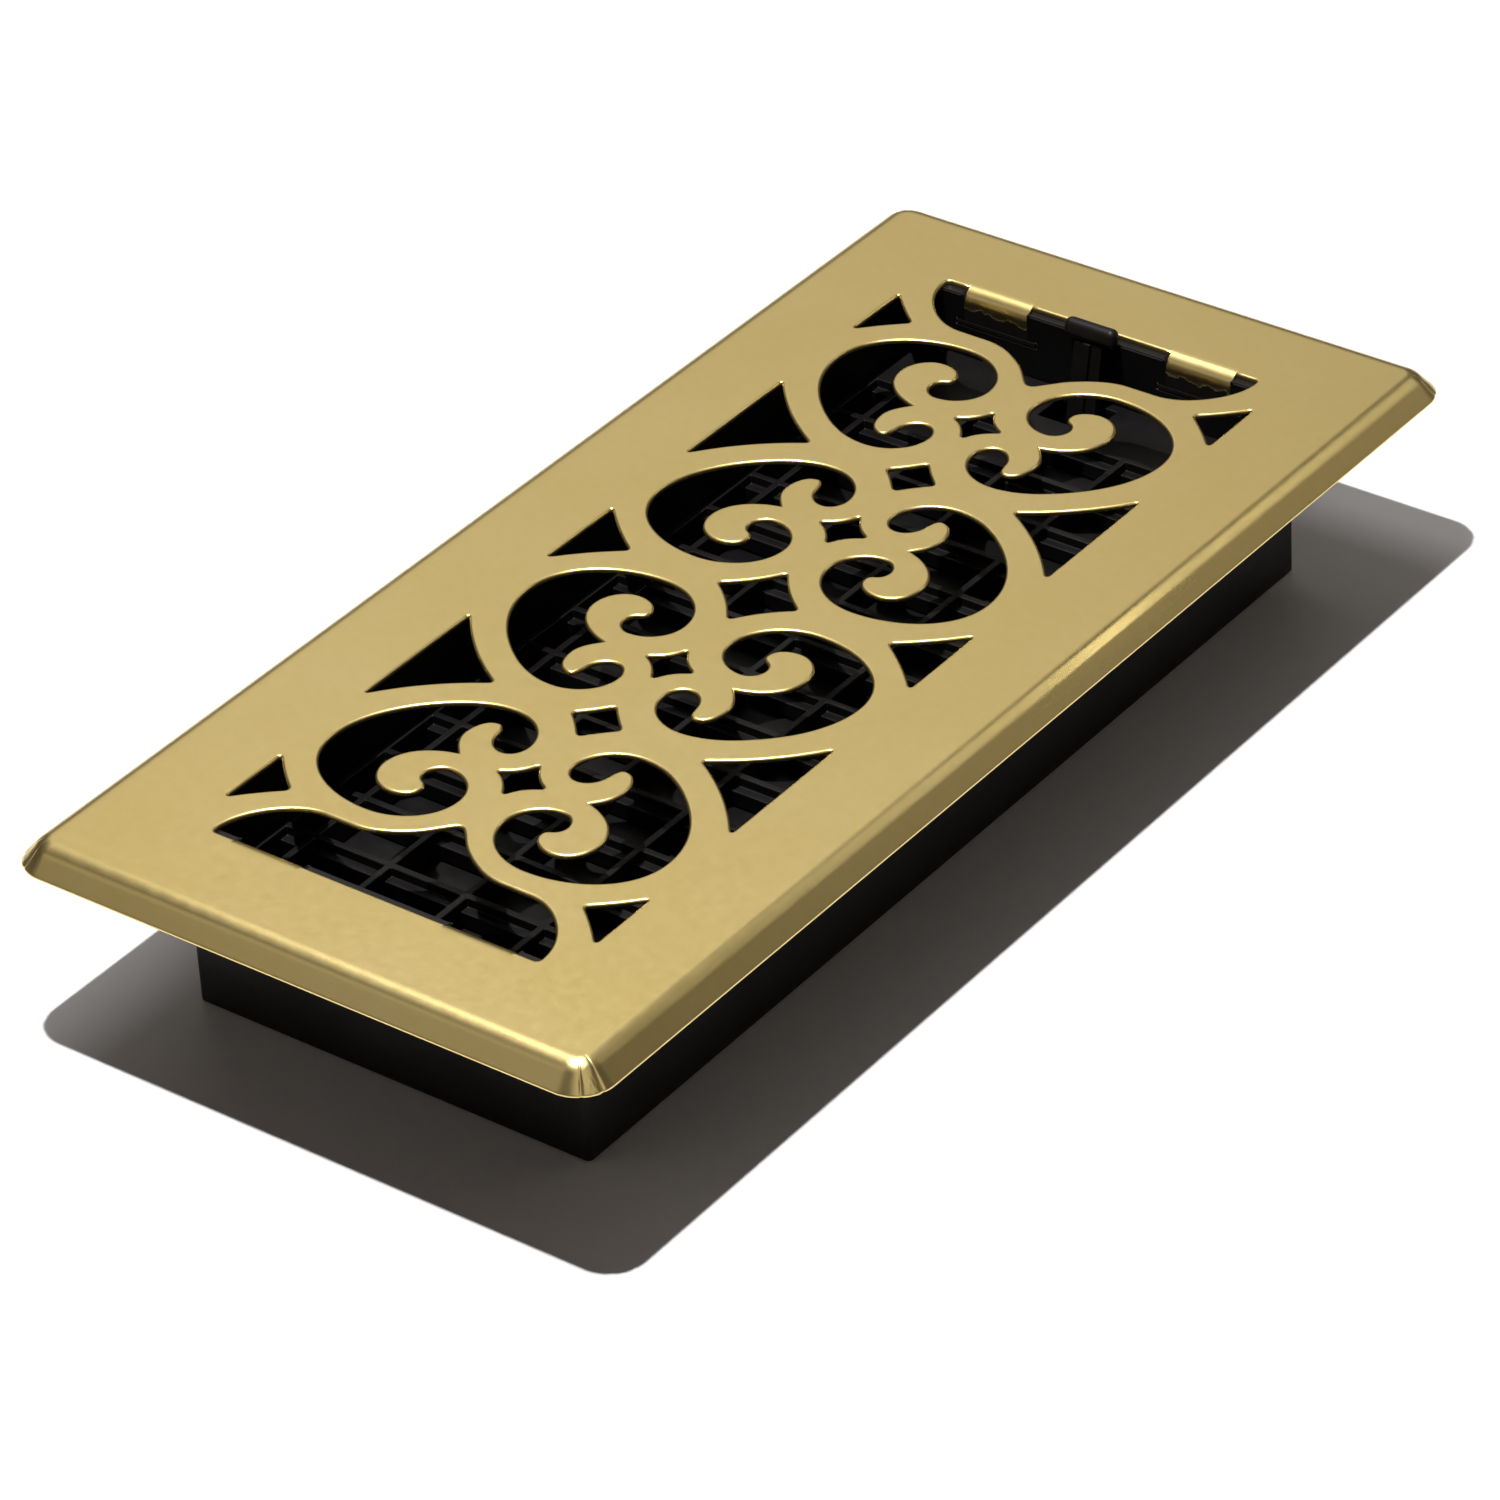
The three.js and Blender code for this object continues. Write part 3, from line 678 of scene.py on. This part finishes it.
# A block with rounded edges; its rings of points crowd into the roundings.
def addBlock(mesh, low, high, radius, layers=None, steps=3):
    centre = (low + high) / 2
    half = (high - low) / 2
    radius = min(radius, half.x, half.y, half.z)
    axes = []
    for size in half:
        ramp = [-size + radius * step / steps for step in range(steps + 1)]
        axes.append(ramp + [-value for value in reversed(ramp)])
    verts = {}

    def corner(i, j, k):
        if (i, j, k) not in verts:
            point = Vector((axes[0][i], axes[1][j], axes[2][k]))
            core = Vector(max(-(h - radius), min(h - radius, p)) for p, h in zip(point, half))
            away = point - core
            placed = core + (away.normalized() * radius if away.length > 1e-9 else away)
            vert = mesh.verts.new(centre + placed)
            # Given the layers, the block is black and not metallic all over, like the underside.
            if layers:
                vert[layers["blackened"]] = 1.0
            verts[i, j, k] = vert
        return verts[i, j, k]

    last = len(axes[0]) - 1
    for a in range(last):
        for b in range(last):
            for fixed in (0, last):
                quads = (
                    [(fixed, a, b), (fixed, a + 1, b), (fixed, a + 1, b + 1), (fixed, a, b + 1)],
                    [(a, fixed, b), (a + 1, fixed, b), (a + 1, fixed, b + 1), (a, fixed, b + 1)],
                    [(a, b, fixed), (a + 1, b, fixed), (a + 1, b + 1, fixed), (a, b + 1, fixed)],
                )
                for quad in quads:
                    mesh.faces.new([corner(*index) for index in quad])
    return list(verts.values())


# Lets the large flats set the shading, so that it stays even beside a bend or a rounded edge.
def shadeEvenly(piece):
    even = piece.modifiers.new("evenShading", "WEIGHTED_NORMAL")
    even.keep_sharp = True


def finishMesh(name, mesh, material, sharp=38):
    for vert in mesh.verts:
        vert.co *= mm
    bmesh.ops.recalc_face_normals(mesh, faces=mesh.faces)
    data = bpy.data.meshes.new(name)
    mesh.to_mesh(data)
    mesh.free()
    data.polygons.foreach_set("use_smooth", [True] * len(data.polygons))
    data.set_sharp_from_angle(angle=math.radians(sharp))
    data.materials.append(material)
    piece = bpy.data.objects.new(name, data)
    bpy.context.scene.collection.objects.link(piece)
    return piece


# How far the long side's bend is rubbed bright at a point.
def burnishOf(point, down):
    values = plateShape
    first, last = values["burnishedDown"]
    if point.x <= 0 or not first < down < last:
        return 0.0
    along = (point.y - values["burnishedAt"]) / values["burnishedHalf"]
    rampIn, rampOut = values["burnishedRamp"]
    return math.exp(-along ** 2) * min(1.0, (down - first) * rampIn, (last - down) * rampOut)


# The punched edge's section, from the face down: how far out of the cut-out, and height.
def punchedSection():
    values = plateShape
    stack = [(values["rollWidth"] + values["guard"], faceZ)]
    for step in range(values["rollSteps"] + 1):
        turn = math.pi / 2 * step / values["rollSteps"]
        stack.append((values["rollWidth"] * (1 - math.sin(turn)),
                      faceZ - values["rollDepth"] * (1 - math.cos(turn))))
    stack.append((0.0, faceZ - values["sheet"] + values["burr"]))
    stack.append((values["burr"], faceZ - values["sheet"]))
    return stack


def facePlate():
    values = plateShape
    mesh = bmesh.new()
    names = ("drawn", "acrossEnd", "blackened", "burnished")
    layers = {name: mesh.verts.layers.float.new(name) for name in names}
    lean = math.sin(values["slope"])
    rise = math.cos(values["slope"])
    rings = []
    for inset, z, down, drawn, under in traySection():
        ring = []
        for point, away, share, toEnd in plateRing(inset):
            form = cornerForm(point, share, down)
            place = Vector((point.x + away.x * form * lean, point.y + away.y * form * lean,
                            z + form * rise * min(1.0, max(0.0, z - rimZ))))
            vert = mesh.verts.new(place)
            vert[layers["drawn"]] = drawn
            vert[layers["acrossEnd"]] = toEnd
            vert[layers["blackened"]] = under
            vert[layers["burnished"]] = 0.0 if under else burnishOf(point, down)
            ring.append(vert)
        rings.append(ring)
    for first, second in zip(rings, rings[1:]):
        joinRings(mesh, first, second)

    topRings = []
    footRings = []
    rollFoot = faceZ - values["rollDepth"] - hair
    sheetFoot = faceZ - values["sheet"] + hair
    for line, marks in cutOutLines():
        built = []
        for distance, z in punchedSection():
            moved = movedOut(line, distance, marks)
            ring = []
            for point, mark in zip(moved, marks):
                vert = mesh.verts.new((point.x, point.y, z if mark > 0 or z <= rollFoot else faceZ))
                # The foot of each punched edge is black, like the underside.
                vert[layers["blackened"]] = 1.0 if z < sheetFoot else 0.0
                ring.append(vert)
            built.append(ring)
        for first, second in zip(built, built[1:]):
            joinRings(mesh, first, second)
        topRings.append(built[0])
        footRings.append(built[-1])
    fillSheet(mesh, rings[0], topRings)
    fillSheet(mesh, rings[-1], footRings)
    bmesh.ops.dissolve_degenerate(mesh, dist=tolerance, edges=mesh.edges)
    for end in (-1, 1):
        for side in (-1, 1):
            addTab(mesh, layers, side, end)
    piece = finishMesh("brassPlate", mesh, brass)
    shadeEvenly(piece)
    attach(piece, "housing")
    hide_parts("faceplate")


# Moulded pieces

# For each node: the piece's name, how much its edges are rounded, and the body that carries it
mouldings = {
    "damper_box": ("boxMoulding", 0.28, "housing"),
    "support_lattice": ("latticeMoulding", 0.26, "housing"),
    "link_bar": ("linkStrip", 0.18, "link"),
}


rounding = {
    "weld": 1e-4,
    "flat": math.radians(0.6),  # facets that differ by less than this are joined into one flat
    "sharp": math.radians(30),  # edges that bend by more than this are rounded
    "segments": 3,
    "smoothTo": 50,  # degrees between faces that still shade as one surface
}


# A copy of a plain solid, with its facets joined into flats.
def mouldedMesh(node):
    mesh = bmesh.new()
    mesh.from_mesh(frame["nodes"][node].data)
    for vert in mesh.verts:
        vert.co /= mm
    bmesh.ops.remove_doubles(mesh, verts=mesh.verts, dist=rounding["weld"])
    bmesh.ops.dissolve_limit(mesh, angle_limit=rounding["flat"], verts=mesh.verts, edges=mesh.edges)
    return mesh


# Rounds a solid's sharp edges as a moulding's are.
def roundEdges(mesh, edge):
    shared = [e for e in mesh.edges if len(e.link_faces) == 2]
    sharp = [e for e in shared if e.calc_face_angle(0) > rounding["sharp"]]
    bmesh.ops.bevel(mesh, geom=sharp, offset=edge, offset_type="OFFSET", segments=rounding["segments"],
                    profile=0.5, affect="EDGES", clamp_overlap=False)


def addMoulding(node, name, edge, body, adjust=None):
    mesh = mouldedMesh(node)
    roundEdges(mesh, edge)
    if adjust:
        adjust(mesh)
    piece = finishMesh(name, mesh, plastic, rounding["smoothTo"])
    shadeEvenly(piece)
    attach(piece, body)
    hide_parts(node)


boxShape = {
    "wall": 2.0,
    "lip": 0.45,  # the end walls' tops reach out this far under the straight edges of the cut-outs
    "lipDepth": 0.7,
    "lipBack": 0.2,  # where a lip starts, out from the wall's inner face
    "lipEdge": 0.08,
    "closed": 0.4,  # gap beside each tab that the wall's edge closes up
    "fillInto": 0.3,  # how far a filler runs on into the wall
    "fillShort": 0.3,  # how far it stops short of the wall's outer face
    "fillEdge": 0.06,
    "slotGap": 0.3,  # above the toe in its slot
    "clear": 0.02,  # left between the plastic and the brass
}


# Brings the box's end walls up to the sheet and in to the sides of the tabs, so no daylight shows.
def closeUp(mesh):
    values = boxShape
    clear = values["clear"]
    top = faceZ - plateShape["sheet"] - clear
    wallIn = boxHigh.y - values["wall"]
    half = tabShape["width"] / 2
    centre = tabShape["centre"] * fitX
    slotTop = faceZ - tabShape["drop"] + plateShape["sheet"] + values["slotGap"]
    gaps = [(-cutHalf.x, -centre - half), (-centre + half, centre - half), (centre + half, cutHalf.x)]
    for end in (-1, 1):
        for low, high in gaps:
            run = sorted((end * (wallIn + values["lipBack"]), end * (boxHigh.y + values["lip"])))
            addBlock(mesh, Vector((low + clear, run[0], top - values["lipDepth"])),
                     Vector((high - clear, run[1], top)), values["lipEdge"])
        for side in (-1, 1):
            for edge in (-1, 1):
                near = side * centre + edge * (half + clear)
                across = sorted((near, near + edge * (values["closed"] + values["fillInto"])))
                run = sorted((end * (wallIn + hair), end * (boxHigh.y - values["fillShort"])))
                addBlock(mesh, Vector((across[0], run[0], slotTop)), Vector((across[1], run[1], top)),
                         values["fillEdge"])


leverShape = {
    "lean": math.radians(12.6),
    "knobWidth": 12.7,
    "knobThickness": 3.2,
    "knobHeight": 4.3,
    "knobRise": 3.0,  # above the face
    "knobRadius": 1.5,
    "knobSteps": 8,
    "stemShort": 0.02,  # how far the stem stops below the knob's own foot
    "edge": 0.16,
}


# The lever's shaft and stem, with a soft thumb knob in place of the plain one.
def thumbLever():
    values = leverShape
    axis = Vector(joints["lever_swing"]["pos_m"]) / mm
    up = Vector((0, math.sin(values["lean"]), math.cos(values["lean"])))
    top = (faceZ + values["knobRise"] - axis.z) / math.cos(values["lean"])
    foot = top - values["knobHeight"]

    mesh = mouldedMesh("thumb_lever")
    everything = list(mesh.verts) + list(mesh.edges) + list(mesh.faces)
    cutAt = axis + up * (foot - values["stemShort"])
    cut = bmesh.ops.bisect_plane(mesh, geom=everything, dist=tolerance, plane_co=cutAt, plane_no=up,
                                 clear_outer=True)
    edges = [e for e in cut["geom_cut"] if isinstance(e, bmesh.types.BMEdge)]
    bmesh.ops.holes_fill(mesh, edges=edges, sides=0)
    roundEdges(mesh, values["edge"])
    half = Vector((values["knobWidth"], values["knobThickness"], values["knobHeight"])) / 2
    knob = addBlock(mesh, -half, half, values["knobRadius"], None, values["knobSteps"])
    turn = Matrix.Rotation(-values["lean"], 4, "X")
    for vert in knob:
        vert.co = turn @ vert.co + axis + up * (foot + half.z)
    piece = finishMesh("leverMoulding", mesh, plastic, rounding["smoothTo"])
    shadeEvenly(piece)
    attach(piece, "lever")
    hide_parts("thumb_lever")


facePlate()
print("faceplate made")
for node, (name, edge, body) in mouldings.items():
    addMoulding(node, name, edge, body, closeUp if node == "damper_box" else None)
thumbLever()
bladeEdge = 0.14
blades = sorted(name for name in frame["nodes"] if name.startswith("louvre_blade_"))
for node in blades:
    number = int(node.rsplit("_", 1)[1])
    addMoulding(node, f"blade{number:02d}", bladeEdge, f"blade_{number}")
print("mouldings made:", len(blades), "blades")


# Floor, lights and camera

studio = {
    "floor": 14.0,
    "floorColour": (0.90, 0.885, 0.885),
    "floorRoughness": 0.9,
    "floorGloss": 0.1,
    "floorDrop": 0.0003,  # just clear of the foot of the box
    "ambient": (0.058, 0.050, 0.048),
    "lampPower": 80.0,
    "lampRadius": 0.016,
    "lampAt": (-0.070, -0.139, 1.3),
}
# name: (direction from the plate, distance, width, height, brightness, colour, direction of its width)
softLights = {
    "rearWindow": ((-0.56, 0.62, 0.56), 1.5, 0.95, 0.85, 0.57, (1.0, 0.97, 0.90), (0.74, 0.67, 0)),
    "overheadSoft": ((-0.30, 0.21, 0.90), 1.3, 0.56, 0.46, 3.5, (1.0, 0.995, 1.0), (1, 0, 0)),
    "frontFill": ((-0.52, -0.66, 0.60), 1.6, 0.7, 0.5, 0.42, (1.0, 0.96, 0.88), (0.79, -0.62, 0)),
    "rearRight": ((0.56, 0.78, 0.42), 1.6, 0.75, 0.4, 0.27, (1.0, 0.93, 0.80), (0.81, -0.58, 0)),
    "nearSide": ((0.53, -0.48, 0.66), 1.9, 1.75, 1.35, 0.46, (1.0, 0.96, 0.86), (0.72, 0.69, 0)),
    "edgeGlint": ((0.26, 0.70, 0.66), 1.5, 0.95, 0.075, 4.2, (1.0, 0.98, 0.90), (0.95, 0, -0.32)),
}


def makeStudio():
    values = studio
    world = bpy.data.worlds.new("studioAir")
    bpy.context.scene.world = world
    world.use_nodes = True
    world.node_tree.nodes["Background"].inputs["Color"].default_value = (*values["ambient"], 1)

    half = values["floor"] / 2
    data = bpy.data.meshes.new("floor")
    corners = [(-half, -half, 0), (half, -half, 0), (half, half, 0), (-half, half, 0)]
    data.from_pydata([(x, y, z - values["floorDrop"]) for x, y, z in corners], [], [(0, 1, 2, 3)])
    floor = bpy.data.objects.new("floor", data)
    bpy.context.scene.collection.objects.link(floor)
    material, _, shader = newMaterial("paleFloor")
    shader.inputs["Base Color"].default_value = (*values["floorColour"], 1)
    shader.inputs["Roughness"].default_value = values["floorRoughness"]
    shader.inputs["Specular IOR Level"].default_value = values["floorGloss"]
    data.materials.append(material)

    overhead = bpy.data.lights.new("overheadLamp", "POINT")
    overhead.energy = values["lampPower"]
    overhead.shadow_soft_size = values["lampRadius"]
    lamp = bpy.data.objects.new("overheadLamp", overhead)
    lamp.location = values["lampAt"]
    lamp.visible_camera = False
    bpy.context.scene.collection.objects.link(lamp)

    for name, (direction, distance, width, height, brightness, colour, across) in softLights.items():
        light = bpy.data.lights.new(name, "AREA")
        light.shape = "RECTANGLE"
        light.size = width
        light.size_y = height
        light.energy = brightness * math.pi * width * height
        light.color = colour
        lamp = bpy.data.objects.new(name, light)
        away = Vector(direction).normalized()
        lamp.location = Vector((0, 0, faceZ * mm)) + away * distance
        lamp.rotation_mode = "QUATERNION"
        upright = away.cross(Vector(across)).normalized()
        turned = Matrix((upright.cross(away), upright, away)).transposed()
        lamp.rotation_quaternion = turned.to_quaternion()
        lamp.visible_camera = False
        lamp.visible_diffuse = name != "nearSide"  # only there to be mirrored in the brass
        bpy.context.scene.collection.objects.link(lamp)


viewpoint = {
    "azimuth": math.radians(38.39),
    "elevation": math.radians(34.08),
    "roll": math.radians(-3.40),
    "aim": Vector((0.0065, -0.0136, 0.0164)),
    "distance": 1.3555,
    "lens": 164.48,
    "sensor": 36.0,
    "nearest": 0.05,
    "furthest": 40,
}


def makeCamera():
    values = viewpoint
    azimuth, elevation = values["azimuth"], values["elevation"]
    back = Vector((math.sin(azimuth) * math.cos(elevation), -math.cos(azimuth) * math.cos(elevation),
                   math.sin(elevation)))
    data = bpy.data.cameras.new("camera")
    data.lens = values["lens"]
    data.sensor_width = values["sensor"]
    data.clip_start = values["nearest"]
    data.clip_end = values["furthest"]
    camera = bpy.data.objects.new("camera", data)
    camera.location = values["aim"] + back * values["distance"]
    camera.rotation_mode = "QUATERNION"
    level = (-back).to_track_quat("-Z", "Y")
    camera.rotation_quaternion = Quaternion(back, values["roll"]) @ level
    bpy.context.scene.collection.objects.link(camera)
    bpy.context.scene.camera = camera


bpy.context.scene.view_settings.view_transform = "Standard"
makeStudio()
makeCamera()
print("studio made")
